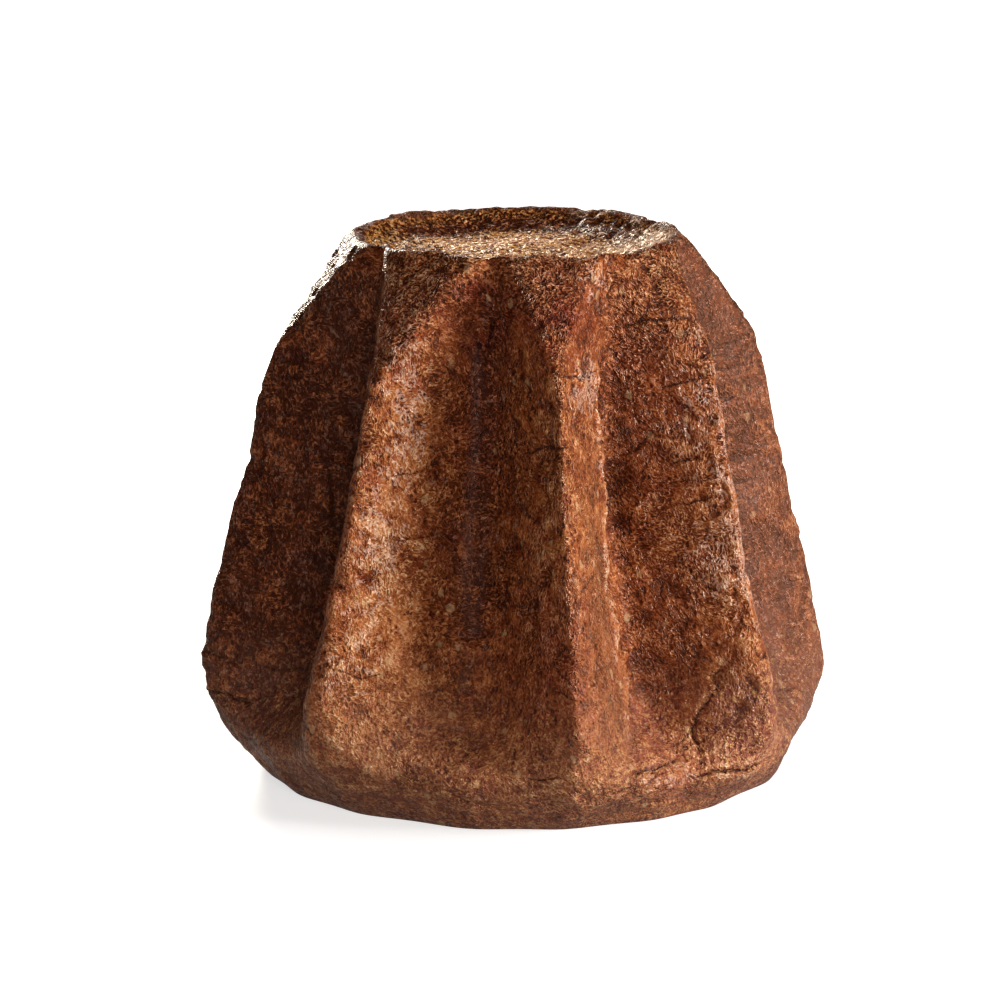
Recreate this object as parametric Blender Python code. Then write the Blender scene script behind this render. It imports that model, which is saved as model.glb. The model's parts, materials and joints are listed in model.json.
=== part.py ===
"""A whole pandoro: a tall, eight-pointed Verona cake, turned out of its mould.

It stands upside down to the way it was baked. The narrow end, which lay on the mould's floor, is on top,
with its shallow dish, and the round dome that rose out of the mould is now the collar and the foot.
The cake is one piece of dough, so it is one closed solid. It is extruded ring by ring: the flat foot,
the walls with their eight ridges, and the dish. Metres, +Z up, origin at the middle of the foot.
"""

import math

import bmesh
import bpy
from mathutils import Vector, noise

MM = 0.001

# ---------------------------------------------------------------- sizes of the whole cake
HEIGHT = 190 * MM
RIDGE_REACH = 113 * MM  # axis to a ridge, at the widest level
RIM_REACH = 57 * MM  # axis to the rim, below the middle of a facet
VALLEY_REACH = 57 * MM  # axis to the bottom of a valley, in the upper half of the wall
DRAFT = math.radians(13.6)  # how much a ridge leans in as it rises, so the cake leaves its mould
SETTLED = 1.8 * MM  # how far the rim has sunk towards +X

# ---------------------------------------------------------------- the eight points
# They are counted anticlockwise from above. Azimuth 0 faces the front, -Y, and
# positive azimuths turn towards +X.
POINTS = 8
RIDGE_AZIMUTH = (-124.0, -79.0, -33.0, 8.5, 53.5, 98.0, 144.0, 190.0)
RIDGE_LEAN = (1.0, 1.0, -4.5, 3.5, -5.0, 1.0, -2.0, 2.0)  # degrees that a ridge has turned by at the foot
RIDGE_GIRTH = (-1.5 * MM, 0.0, 0.5 * MM, -0.5 * MM, -1.0 * MM, 1.0 * MM, -1.5 * MM, 0.5 * MM)
WIDEST_LEVEL = (42 * MM, 44 * MM, 42 * MM, 38 * MM, 36 * MM, 34 * MM, 38 * MM, 40 * MM)
FOOT_REACH = (91 * MM, 88 * MM, 86 * MM, 88 * MM, 91 * MM, 98 * MM, 95 * MM, 91 * MM)

# The valley that follows each ridge, in the same order.
VALLEY_SWAY = (-1.0, 0.0, 4.0, 3.5, 0.0, 2.0, -2.0, 1.0)  # degrees off the middle between its ridges
VALLEY_FLARE = (46 * MM, 44 * MM, 50 * MM, 42 * MM, 44 * MM, 48 * MM, 46 * MM, 45 * MM)
VALLEY_FLARE_START = 132 * MM  # above this level the valleys run straight up
VALLEY_FLARE_POWER = 1.6

# ---------------------------------------------------------------- the collar, where the valleys end
COLLAR_TOP = 36 * MM
COLLAR_BOTTOM = 14 * MM
COLLAR_WAIST = 3.5 * MM  # how far the collar still draws in below a valley
COLLAR_ROUNDING = 1.9  # power of the curve from the widest level down to the foot

# ---------------------------------------------------------------- facets at the top of the ridges
FACET_RUN = 0.78  # outwards for each metre down
FACET_EDGE = 3.0 * MM  # softness of the edges round a facet
RIM_SOFTNESS = 1.5 * MM

# ---------------------------------------------------------------- the dish on top
DISH_DEPTH = 7.5 * MM
DISH_LIP = 0.97  # share of the rim's reach where the dish starts to fall
DISH_FLOOR = 0.55  # share of the rim's reach where the floor starts
DISH_BOWL = 2.2  # power of the curve from the lip down to the floor
DISH_HUMP = 1.2 * MM  # the floor rises a little in its middle
RIM_RISE = 1.0 * MM  # the back of the rim stands this much higher than the front

# ---------------------------------------------------------------- roundness of the section
CREST_SOFTNESS = 0.10  # shares of a flank's width over which the crest and the valley are round
CREST_SOFTNESS_AT_FOOT = 0.34
VALLEY_SOFTNESS = 0.12
VALLEY_SOFTNESS_AT_FOOT = 0.42
SOFTENING_START = 120 * MM  # below this level crests and valleys grow rounder

# ---------------------------------------------------------------- unevenness of a real bake
WOBBLE_DEPTH = 1.5 * MM
WOBBLE_SIZE = 34 * MM
CRAG_DEPTH = 0.8 * MM
CRAG_SIZE = 11 * MM
CRAG_ORIGIN = Vector((3.7, 1.3, 8.1))  # where in the noise this cake is taken from

# Swellings and hollows of this bake: azimuth, level, half width, half height, and how far out.
SWELLINGS = (
    (58.0, 44 * MM, 22 * MM, 26 * MM, 5.0 * MM),  # the fat foot of the ridge at 52 degrees
    (37.0, 34 * MM, 9 * MM, 24 * MM, -4.0 * MM),  # the hollow on that foot's left side
    (38.0, 15 * MM, 26 * MM, 7 * MM, 2.5 * MM),  # the ledge that closes the valley before it
    (76.0, 20 * MM, 6 * MM, 10 * MM, -3.0 * MM),  # the pit between the two right-hand feet
    (30.0, 168 * MM, 9 * MM, 7 * MM, -1.5 * MM),  # the pucker at a valley's head
    (-57.0, 186 * MM, 5 * MM, 7 * MM, -2.5 * MM),  # the notch in the rim at another's head
    (12.0, 146 * MM, 7 * MM, 5 * MM, 1.5 * MM),  # the knob below a facet
    (-34.0, 30 * MM, 26 * MM, 20 * MM, 1.5 * MM),
)

# Cracks and the edges of flakes. Each runs through its azimuths and levels, and the crust on the right
# of that way stands out by the lip, while the crust on its left is sunk by as much.
CREASES = (
    (2.6 * MM, ((19.0, 20 * MM), (26.0, 22 * MM), (37.5, 18.5 * MM), (46.0, 19 * MM), (56.0, 14.5 * MM))),
    (2.2 * MM, ((38.6, 20 * MM), (39.0, 26 * MM), (42.3, 41 * MM), (43.5, 48 * MM), (46.0, 57 * MM))),
    (1.1 * MM, ((30.5, 112 * MM), (31.5, 86 * MM), (31.5, 59 * MM), (30.0, 40 * MM), (25.0, 26 * MM))),
    (1.2 * MM, ((58.0, 167 * MM), (45.0, 165.5 * MM), (35.0, 163 * MM))),
    (1.1 * MM, ((8.0, 155 * MM), (19.0, 151 * MM), (28.0, 151 * MM))),
    (0.9 * MM, ((0.0, 126 * MM), (5.7, 131 * MM), (10.0, 132 * MM))),
    (0.7 * MM, ((52.0, 150 * MM), (43.0, 148 * MM))),
    (0.7 * MM, ((46.0, 138 * MM), (39.0, 126 * MM))),
)
CREASE_SHARPNESS = 2.2 * MM
CREASE_SPREAD = 7 * MM

# ---------------------------------------------------------------- mesh
COLUMNS_A_FLANK = 8
COLUMN_CROWDING = 0.55  # 0 spaces the columns evenly, 1 draws them all to the crests and valleys
WALL_RINGS = 37
RING_CROWDING = 0.45  # the same for the rings, drawn to the foot and to the rim
DISH_RINGS = (0.97, 0.93, 0.86, 0.76, 0.62, 0.38, 0.12)  # shares of the rim's reach


def smoothstep(low, high, value):
    """0 below low, 1 above high, and a soft rise between them."""
    share = min(max((value - low) / (high - low), 0.0), 1.0)
    return share * share * (3 - 2 * share)


def mix(a, b, share):
    return a + (b - a) * share


def crowded(share, crowding):
    """Keeps 0, 1/2, 1 and so on in place and draws what lies between towards the whole numbers."""
    return share - crowding * math.sin(math.tau * share) / math.tau


def soft_min(a, b, softness):
    """The smaller of two lengths, with their crossing rounded over the given length."""
    overlap = max(softness - abs(a - b), 0.0) / softness
    return min(a, b) - overlap * overlap * softness / 4


def soft_step(share, start_softness, end_softness):
    """Runs from 0 to 1 with share, straight in the middle and levelling off at both ends."""
    from_start = math.hypot(share, start_softness) - start_softness
    from_end = math.hypot(1 - share, end_softness) - end_softness
    return from_start / (from_start + from_end)


def clear_scene():
    for obj in list(bpy.data.objects):
        bpy.data.objects.remove(obj, do_unlink=True)


# ---------------------------------------------------------------- the mould's star


def ridge_azimuth(point, level):
    """Azimuth of a ridge in radians; point may run past 7 or below 0, once round the cake."""
    turns, index = divmod(point, POINTS)
    lean = RIDGE_LEAN[index] * (1 - level / HEIGHT)
    return math.radians(RIDGE_AZIMUTH[index] + lean + 360 * turns)


def valley_azimuth(point, level):
    """Azimuth of the valley that follows a ridge, in radians."""
    middle = (ridge_azimuth(point, level) + ridge_azimuth(point + 1, level)) / 2
    return middle + math.radians(VALLEY_SWAY[point % POINTS])


def ridge_reach(point, level):
    """Axis to ridge: the mould's straight draft down to the widest level, then the dome's round turn."""
    index = point % POINTS
    widest = WIDEST_LEVEL[index]
    reach = RIDGE_REACH + RIDGE_GIRTH[index]
    if level >= widest:
        return reach - (level - widest) * math.tan(DRAFT)
    turn = ((widest - level) / widest) ** COLLAR_ROUNDING
    return mix(reach, FOOT_REACH[index], turn)


def valley_reach(point, level):
    """Axis to the valley that follows a ridge: upright, then flaring out, then lost in the collar."""
    index = point % POINTS
    flare = max(VALLEY_FLARE_START - level, 0.0) / VALLEY_FLARE_START
    groove = VALLEY_REACH + VALLEY_FLARE[index] * flare**VALLEY_FLARE_POWER
    between = (ridge_reach(point, level) + ridge_reach(point + 1, level)) / 2
    collar = between - COLLAR_WAIST * smoothstep(0.0, COLLAR_BOTTOM, level)
    return mix(collar, groove, smoothstep(COLLAR_BOTTOM, COLLAR_TOP, level))


def flank_reach(ridge, valley, width, share):
    """Reach of the straight line from a ridge to a valley `width` radians away, share of the way."""
    turned = share * width
    return ridge * valley * math.sin(width) / (ridge * math.sin(turned) + valley * math.sin(width - turned))


def facet_reach(level, off_ridge):
    """Reach of the sloping plane that cuts a ridge off below the rim."""
    return (RIM_REACH + (HEIGHT - level) * FACET_RUN) / math.cos(off_ridge)


def wall_reach(point, share, level):
    """Reach and azimuth between ridge `point` (share 0), its valley (share 1) and the next ridge (2)."""
    near, from_ridge = (point, share) if share <= 1 else (point + 1, 2 - share)
    ridge = ridge_azimuth(near, level)
    valley = valley_azimuth(point, level)
    width = abs(valley - ridge)
    roundness = 1 - smoothstep(0.0, SOFTENING_START, level)
    crest_softness = mix(CREST_SOFTNESS, CREST_SOFTNESS_AT_FOOT, roundness)
    valley_softness = mix(VALLEY_SOFTNESS, VALLEY_SOFTNESS_AT_FOOT, roundness)
    across = soft_step(from_ridge, crest_softness, valley_softness)
    star = flank_reach(ridge_reach(near, level), valley_reach(point, level), width, across)
    facet = facet_reach(level, from_ridge * width)
    return soft_min(star, facet, FACET_EDGE), mix(ridge, valley, from_ridge)


def at(azimuth, reach, level):
    return Vector((reach * math.sin(azimuth), -reach * math.cos(azimuth), level))


# ---------------------------------------------------------------- what the oven added


def swelling_lift(azimuth, reach, level):
    lift = 0.0
    for degrees, middle_level, half_width, half_height, height in SWELLINGS:
        turned = math.remainder(azimuth - math.radians(degrees), math.tau)
        across = turned * reach / half_width
        along = (level - middle_level) / half_height
        lift += height * math.exp(-(across * across + along * along))
    return lift


def crease_lift(azimuth, reach, level):
    """How far cracks lift or sink the crust, worked out on the wall unrolled flat round the place."""
    lift = 0.0
    for lip, line in CREASES:
        corners = []
        for degrees, corner_level in line:
            turned = math.remainder(math.radians(degrees) - azimuth, math.tau)
            corners.append(Vector((turned * reach, corner_level - level)))
        nearest, side = min(off_line(start, end) for start, end in zip(corners, corners[1:]))
        fading = math.exp(-((nearest / CREASE_SPREAD) ** 2))
        lift += lip * side * math.tanh(nearest / CREASE_SHARPNESS) * fading
    return lift


def off_line(start, end):
    """Distance from the origin to a straight piece of line, and 1 if the origin is on its right, else -1."""
    along = end - start
    share = min(max(-start.dot(along) / along.length_squared, 0.0), 1.0)
    nearest = start + along * share
    return nearest.length, math.copysign(1.0, along.x * start.y - along.y * start.x)


def unevenness(place, azimuth, reach):
    """How far the bake stands out from the mould's true form at a place on the wall."""
    out = WOBBLE_DEPTH * noise.noise(place / WOBBLE_SIZE + CRAG_ORIGIN)
    out += CRAG_DEPTH * noise.noise(place / CRAG_SIZE + CRAG_ORIGIN)
    return out + swelling_lift(azimuth, reach, place.z) + crease_lift(azimuth, reach, place.z)


# ---------------------------------------------------------------- the mesh, column by column and ring by ring


def column_place(column):
    """The ridge that a column follows, and its share (0 to 2) of the way to the next ridge."""
    point, step = divmod(column, 2 * COLUMNS_A_FLANK)
    return point, crowded(step / COLUMNS_A_FLANK, COLUMN_CROWDING)


def wall_point(column, level):
    point, share = column_place(column)
    reach, azimuth = wall_reach(point, share, level)
    fade = smoothstep(0.0, 6 * MM, level)
    reach += fade * unevenness(at(azimuth, reach, level), azimuth, reach)
    place = at(azimuth, reach, level)
    place.x += SETTLED * level / HEIGHT
    return place


def rim_point(column, level):
    """The rim's line, whose height wavers by a millimetre or so."""
    place = wall_point(column, level)
    place.z += WOBBLE_DEPTH * noise.noise(place / WOBBLE_SIZE - CRAG_ORIGIN)
    place.z += RIM_RISE * smoothstep(-RIM_REACH, RIM_REACH, place.y)
    return place


def dish_point(column, share):
    """A place on the dish, share of the way out from the axis to the rim."""
    rim = rim_point(column, HEIGHT)
    inwards = min((DISH_LIP - share) / (DISH_LIP - DISH_FLOOR), 1.0)
    sunk = 1 - (1 - inwards) ** DISH_BOWL
    hump = DISH_HUMP * (1 - smoothstep(0.0, DISH_FLOOR, share))
    place = Vector((rim.x * share, rim.y * share, rim.z - DISH_DEPTH * sunk + hump))
    place.z += CRAG_DEPTH * sunk * noise.noise(place / CRAG_SIZE + CRAG_ORIGIN)
    return place


def grow_ring(bm, edges, column_layer, place):
    """Extrudes the open ring of edges and moves each new corner to where its column should be."""
    made = bmesh.ops.extrude_edge_only(bm, edges=edges)["geom"]
    for vert in made:
        if isinstance(vert, bmesh.types.BMVert):
            vert.co = place(vert[column_layer])
    return [edge for edge in made if isinstance(edge, bmesh.types.BMEdge) and edge.is_boundary]


def model_cake():
    bm = bmesh.new()
    column_layer = bm.verts.layers.int.new("column")
    columns = 2 * COLUMNS_A_FLANK * POINTS
    foot = bmesh.ops.create_circle(bm, cap_ends=True, segments=columns, radius=RIDGE_REACH)
    for column, vert in enumerate(foot["verts"]):
        vert[column_layer] = column
        vert.co = wall_point(column, 0.0)
    ring = list(bm.edges)
    for step in range(1, WALL_RINGS + 1):
        level = (HEIGHT - RIM_SOFTNESS) * crowded(step / WALL_RINGS, RING_CROWDING)
        place = rim_point if step == WALL_RINGS else wall_point
        ring = grow_ring(bm, ring, column_layer, lambda column: place(column, level))
    for share in DISH_RINGS:
        ring = grow_ring(bm, ring, column_layer, lambda column: dish_point(column, share))
    bmesh.ops.contextual_create(bm, geom=ring)
    bmesh.ops.recalc_face_normals(bm, faces=bm.faces)
    return bm


def centre_on_foot(bm):
    """Moves the cake sideways so that its bounding box stands centred on the origin."""
    for axis in (0, 1):
        places = [vert.co[axis] for vert in bm.verts]
        middle = (min(places) + max(places)) / 2
        for vert in bm.verts:
            vert.co[axis] -= middle


def crust_material():
    material = bpy.data.materials.new("crust")
    material.use_nodes = True
    shader = material.node_tree.nodes["Principled BSDF"]
    shader.inputs["Base Color"].default_value = (0.19, 0.065, 0.022, 1.0)
    shader.inputs["Roughness"].default_value = 0.55
    shader.inputs["Metallic"].default_value = 0.0
    material.diffuse_color = (0.19, 0.065, 0.022, 1.0)
    return material


def main():
    clear_scene()
    collection = bpy.data.collections.new("pandoro")
    bpy.context.scene.collection.children.link(collection)
    bm = model_cake()
    centre_on_foot(bm)
    mesh = bpy.data.meshes.new("pandoro")
    bm.to_mesh(mesh)
    bm.free()
    mesh.shade_smooth()
    mesh.materials.append(crust_material())
    collection.objects.link(bpy.data.objects.new("pandoro", mesh))


main()
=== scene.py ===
# %% [markdown]
# # A pandoro and its crust
#
# A pandoro is a tall Verona cake baked in an eight-pointed tin and turned out upside down.
# Its crust is the whole look of it: chocolate brown, torn and wrinkled where the dough
# stuck to the tin, with fibres that run over the flanks and a sandy, sunken top.
#
# The measured solid of the cake comes first. It gives the size and the place of every
# point and valley, and everything after it only adds what a baker would call the bake.

import json
import math

import bmesh
import bpy
import numpy as np
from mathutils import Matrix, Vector, kdtree, noise
from mathutils.bvhtree import BVHTree

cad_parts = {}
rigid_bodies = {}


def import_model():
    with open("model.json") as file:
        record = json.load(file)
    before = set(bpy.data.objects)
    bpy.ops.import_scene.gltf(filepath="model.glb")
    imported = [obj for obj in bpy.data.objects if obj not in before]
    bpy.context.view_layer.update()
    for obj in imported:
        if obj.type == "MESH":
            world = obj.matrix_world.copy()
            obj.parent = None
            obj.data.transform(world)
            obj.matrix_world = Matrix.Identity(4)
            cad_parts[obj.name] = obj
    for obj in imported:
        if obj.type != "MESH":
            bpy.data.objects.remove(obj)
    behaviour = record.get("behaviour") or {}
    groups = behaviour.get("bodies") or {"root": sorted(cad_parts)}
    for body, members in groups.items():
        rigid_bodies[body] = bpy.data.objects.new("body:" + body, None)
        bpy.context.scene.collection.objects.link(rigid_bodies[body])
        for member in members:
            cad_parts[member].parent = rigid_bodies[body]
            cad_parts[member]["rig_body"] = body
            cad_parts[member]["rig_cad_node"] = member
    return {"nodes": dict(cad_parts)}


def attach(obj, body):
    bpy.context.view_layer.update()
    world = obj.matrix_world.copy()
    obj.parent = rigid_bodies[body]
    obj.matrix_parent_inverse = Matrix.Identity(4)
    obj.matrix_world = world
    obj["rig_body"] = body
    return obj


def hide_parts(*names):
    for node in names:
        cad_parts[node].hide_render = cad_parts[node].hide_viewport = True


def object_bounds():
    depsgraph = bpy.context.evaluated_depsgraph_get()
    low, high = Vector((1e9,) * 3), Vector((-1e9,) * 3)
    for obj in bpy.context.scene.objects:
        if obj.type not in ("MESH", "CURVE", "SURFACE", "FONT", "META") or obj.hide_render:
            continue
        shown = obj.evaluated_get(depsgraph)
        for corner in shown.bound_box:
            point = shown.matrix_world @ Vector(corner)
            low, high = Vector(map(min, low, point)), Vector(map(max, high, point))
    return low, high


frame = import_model()
cad_low, cad_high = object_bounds()
solid_cake = frame["nodes"]["pandoro"]
MM = 0.001
print("cake box in mm:", [round((high - low) / MM, 1) for low, high in zip(cad_low, cad_high)])

# %% [markdown]
# ## A copy to model on
#
# The solid stays as it is, and the crust is modelled on a copy. The solid arrives as loose
# triangles, so the copy's doubled points are merged first and the triangles are joined
# into four-sided faces, because smooth subdivision works best on those.

# %% Copy the solid and merge its loose triangles


def select_only(thing):
    """Leaves one object selected and active."""
    bpy.ops.object.select_all(action="DESELECT")
    thing.select_set(True)
    bpy.context.view_layer.objects.active = thing


def pick_faces(thing, wanted):
    """Selects the faces that the test says yes to, and says how many there are."""
    bpy.ops.mesh.select_mode(type="FACE")
    bpy.ops.mesh.select_all(action="DESELECT")
    shape = bmesh.from_edit_mesh(thing.data)
    picked = [face for face in shape.faces if wanted(face)]
    for face in picked:
        face.select_set(True)
    bmesh.update_edit_mesh(thing.data)
    return len(picked)


select_only(solid_cake)
bpy.ops.object.duplicate()
crust = bpy.context.active_object
crust.name = "pandoro_crust"
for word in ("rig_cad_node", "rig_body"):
    del crust[word]
bpy.ops.object.parent_clear(type="CLEAR_KEEP_TRANSFORM")
crust.data.materials.clear()
bpy.ops.object.mode_set(mode="EDIT")
bpy.ops.mesh.select_all(action="SELECT")
bpy.ops.mesh.remove_doubles(threshold=0.05 * MM)
under = pick_faces(crust, lambda face: face.normal.z < -0.9 and face.calc_center_median().z < 0.4 * MM)
bpy.ops.mesh.delete(type="FACE")
print("foot faces taken off:", under)

# %% [markdown]
# ## A finer floor for the dish
#
# The solid's rows all run to the middle of the dish, where they crowd together. A grid of
# even squares carries a sandy texture far better, so the middle is cut out, every second
# point of the cut edge goes, and Grid Fill closes the hole. Shrinkwrap lays the new squares
# back on the solid's hollow.

# %% Replace the middle of the dish by an even grid
DISH_MIDDLE_REACH = 13 * MM
DISH_LOWEST = 172 * MM
ROWS_TO_CUT = 4
GRID_ACROSS = 16

pick_faces(
    crust,
    lambda face: face.calc_center_median().z > DISH_LOWEST
    and all(corner.co.xy.length < DISH_MIDDLE_REACH for corner in face.verts),
)
for _ in range(ROWS_TO_CUT):
    bpy.ops.mesh.select_more()
bpy.ops.mesh.delete(type="FACE")
bpy.ops.mesh.select_all(action="SELECT")
bpy.ops.mesh.tris_convert_to_quads(face_threshold=math.radians(60), shape_threshold=math.pi)
shape = bmesh.from_edit_mesh(crust.data)
round_the_cut = sorted(
    (point for point in shape.verts if point.is_boundary and point.co.z > DISH_LOWEST),
    key=lambda point: math.atan2(point.co.x, -point.co.y),
)
bpy.ops.mesh.select_mode(type="VERT")
bpy.ops.mesh.select_all(action="DESELECT")
for point in round_the_cut[::2]:
    point.select_set(True)
bmesh.update_edit_mesh(crust.data)
bpy.ops.mesh.dissolve_verts()
bpy.ops.mesh.select_mode(type="EDGE")
bpy.ops.mesh.select_all(action="DESELECT")
shape = bmesh.from_edit_mesh(crust.data)
for edge in shape.edges:
    if edge.is_boundary and edge.verts[0].co.z > DISH_LOWEST:
        edge.select_set(True)
bmesh.update_edit_mesh(crust.data)
bpy.ops.mesh.fill_grid(span=GRID_ACROSS)
bpy.ops.object.vertex_group_assign_new()
bpy.ops.object.mode_set(mode="OBJECT")
lay = crust.modifiers.new("lay on the hollow", "SHRINKWRAP")
lay.target = solid_cake
lay.wrap_method = "PROJECT"
lay.use_project_z = True
lay.use_negative_direction = True
lay.use_positive_direction = True
lay.vertex_group = crust.vertex_groups[0].name
bpy.ops.object.modifier_apply(modifier=lay.name)
crust.vertex_groups.clear()
print("edges round the cut:", len(round_the_cut), "faces now:", len(crust.data.polygons))

# %% [markdown]
# ## Round the facets
#
# Two levels of Subdivision Surface turn the solid's flat facets into a smooth skin with
# points about 1.4 mm apart, fine enough for wrinkles. The hole under the foot is closed
# last, so that its flat face isn't cut up for nothing.

# %% Subdivide
smooth = crust.modifiers.new("round the facets", "SUBSURF")
smooth.levels = 2
smooth.render_levels = 2
bpy.ops.object.modifier_apply(modifier=smooth.name)
print("faces of the smooth skin:", len(crust.data.polygons))

# %% [markdown]
# ## Where the creases run
#
# The crust cracked where the dough folded or stuck: across the shoulders, along the edge
# of the deep valley in front, and in a long ledge above the foot. Each crease is a list of
# (azimuth, level) points, in degrees round the cake and millimetres above the table, with
# its depth, its half width, and how far the crust on its lower or left side stands proud.

# %% List the creases
FRONT_CREASES = (
    # depth, half width, lip, points
    (2.3, 1.2, 2.0, ((20, 19.5), (22, 21.5), (26, 22), (31, 22.5), (36.5, 20.8))),
    (1.9, 1.0, 1.6, ((32.5, 18.5), (36, 17), (38.5, 17.5), (43.5, 18), (46, 16.5), (50, 17), (57, 15))),
    (1.2, 0.9, 0.8, ((46, 58), (45, 53.5), (43.5, 46), (42, 37.5), (40, 30), (39, 24), (38.5, 18))),
    (0.8, 0.9, 0.4, ((48, 59), (49, 55.5), (52, 56.5), (53.5, 57.5), (54, 61))),
    (0.7, 0.9, 0.4, ((37, 120.5), (39.5, 123), (41, 126), (42.5, 129), (45, 131))),
    (0.7, 0.9, 0.4, ((44, 118), (46, 120), (47.5, 121.5), (49, 120.5))),
    (0.7, 0.9, 0.3, ((44, 106), (45.5, 105.5), (46.5, 107), (48, 108), (50, 108.5))),
    (0.8, 1.0, 0.6, ((30, 163.5), (34, 164), (38, 165), (43, 167), (50, 168), (55, 167))),
    (0.6, 0.8, 0.3, ((43, 143), (46.5, 145.5), (49, 147), (52, 149.5))),
    (0.8, 1.0, 0.5, ((5, 156), (9, 155), (14, 152.5), (19, 151), (24, 151.5), (29, 151))),
    (0.9, 1.0, 0.4, ((0, 125.5), (3, 127), (5.5, 130.5), (9.5, 131.5), (12, 131))),
    (0.7, 0.9, 0.3, ((31, 186), (35, 181), (32, 176), (33, 171))),
    (1.0, 1.0, 0.4, ((-61, 156), (-50, 159), (-36, 161))),
    (1.6, 1.8, 0.3, ((83, 27), (81, 23), (82, 18), (79, 14))),
    (0.9, 1.0, 0.3, ((-12, 172), (-9, 168), (-10, 160), (-8, 152))),
)
SHOULDER_WRINKLES = (
    (0.9, 0.9, 0.4, ((57, 158), (66, 160), (78, 157), (90, 150), (98, 151))),
    (0.8, 0.9, 0.3, ((60, 147), (72, 150), (86, 142), (97, 142))),
    (0.9, 0.9, 0.4, ((56, 137), (68, 138), (84, 131), (96, 131))),
    (0.8, 0.9, 0.3, ((58, 124), (70, 127), (86, 119), (98, 123))),
    (0.8, 0.9, 0.3, ((57, 112), (72, 114), (88, 109), (97, 111))),
    (0.8, 0.9, 0.3, ((60, 99), (75, 103), (90, 101), (97, 103))),
)
LEFT_GROOVES = (
    (1.2, 1.2, 0.3, ((-68, 116), (-66.5, 107.5), (-65.5, 100.5), (-64, 90))),
    (1.0, 1.1, 0.3, ((-77, 124), (-76, 112), (-77, 103))),
    (1.1, 1.2, 0.3, ((-74, 98), (-72.5, 86), (-73, 76))),
    (1.0, 1.1, 0.3, ((-72.5, 137), (-72, 124.5), (-70.5, 114))),
    (1.2, 1.3, 0.4, ((-62, 80), (-60, 68), (-61, 55), (-58, 44))),
    (1.0, 1.1, 0.3, ((-82, 90), (-81, 78), (-83, 66), (-82, 52))),
    (1.2, 1.1, 0.4, ((-66, 34), (-70, 30), (-76, 32), (-82, 29))),
)

# %% [markdown]
# ## Creases for the back
#
# The back of the cake came out of the same tin, so it has the same sort of creases. They
# are drawn at random with a fixed seed: short ones run across the flanks and along the
# valleys, and two ledges lie above the foot.

# %% Draw the creases of the back
chance = np.random.default_rng(24)
BACK_FROM, BACK_TO = 104, 262
STRIDE = 6
MM_PER_DEGREE = 1.5
LOWEST_CREASE, HIGHEST_CREASE = 9, 180


def wandering_crease(azimuth, level, heading, length, depth):
    """A crease that starts somewhere and keeps changing its heading a little."""
    points = [(azimuth, level)]
    for _ in range(max(3, int(length / STRIDE))):
        heading += chance.normal(0, 0.35)
        azimuth += STRIDE * math.cos(heading) / MM_PER_DEGREE
        level += STRIDE * math.sin(heading)
        points.append((azimuth, min(max(level, LOWEST_CREASE), HIGHEST_CREASE)))
    return (depth, chance.uniform(0.8, 1.3), 0.4 * depth, tuple(points))


BACK_CREASES = [
    wandering_crease(
        chance.uniform(BACK_FROM, BACK_TO),
        chance.uniform(25, 172),
        chance.choice((0.15, 0.5, 1.5, 1.75)) + chance.normal(0, 0.2),
        chance.uniform(14, 46),
        chance.uniform(0.7, 1.7),
    )
    for _ in range(24)
]
BACK_CREASES += [
    (1.8, 1.4, 1.0, ((118, 20), (123, 23), (130, 22), (137, 19), (146, 20), (152, 17))),
    (1.8, 1.4, 0.9, ((204, 17), (211, 20), (219, 21), (226, 18), (236, 19))),
]
LARGE_CREASES = FRONT_CREASES + SHOULDER_WRINKLES + LEFT_GROOVES + tuple(BACK_CREASES)
print("large creases:", len(LARGE_CREASES))

# %% [markdown]
# ## Fine wrinkles everywhere
#
# Between the large creases the crust is covered in short, thin ones. Most run level,
# because the dough settled as it cooled, and some slant with the fibres.

# %% Draw the fine wrinkles
WRINKLE_COUNT = 150
HEADINGS = (0.0, 0.12, -0.15, 2.2, 1.45)
HEADING_SHARES = (0.32, 0.23, 0.17, 0.16, 0.12)
FINE_WRINKLES = []
for _ in range(WRINKLE_COUNT):
    start_azimuth = chance.uniform(-180, 180)
    heading = chance.choice(HEADINGS, p=HEADING_SHARES) + chance.normal(0, 0.18)
    start_level = chance.uniform(12, 176)
    wrinkle = wandering_crease(start_azimuth, start_level, heading, chance.uniform(8, 24), 1.0)
    FINE_WRINKLES.append((chance.uniform(0.2, 0.5), 1.0, chance.uniform(0.1, 0.3), wrinkle[-1]))
ALL_CREASES = LARGE_CREASES + tuple(FINE_WRINKLES)
print("fine wrinkles:", len(FINE_WRINKLES))

# %% [markdown]
# ## Lay the creases on the skin
#
# A crease is known only by its direction from the axis and its level, so a ray is shot from
# outside towards the axis, and the place where it meets the cake is the crease's place. A
# slow drift and a little jitter keep the line ragged, as a tear in baked dough is.

# %% Lay the creases on the skin
STEP = 0.5
JITTER = 0.55
DRIFT = 1.3
TAPER = 3.2
OUTSIDE = 200 * MM


def outward(azimuth):
    """Level direction away from the axis, with 0 degrees at the front."""
    turn = math.radians(azimuth)
    return Vector((math.sin(turn), -math.cos(turn), 0.0))


skin = BVHTree.FromObject(crust, bpy.context.evaluated_depsgraph_get())


def on_the_skin(azimuth, level):
    """The skin's outermost point in that direction, and which way it faces."""
    way = outward(azimuth)
    start = way * OUTSIDE + Vector((0, 0, level * MM))
    spot, facing, _, _ = skin.ray_cast(start, -way)
    return spot, facing


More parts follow.
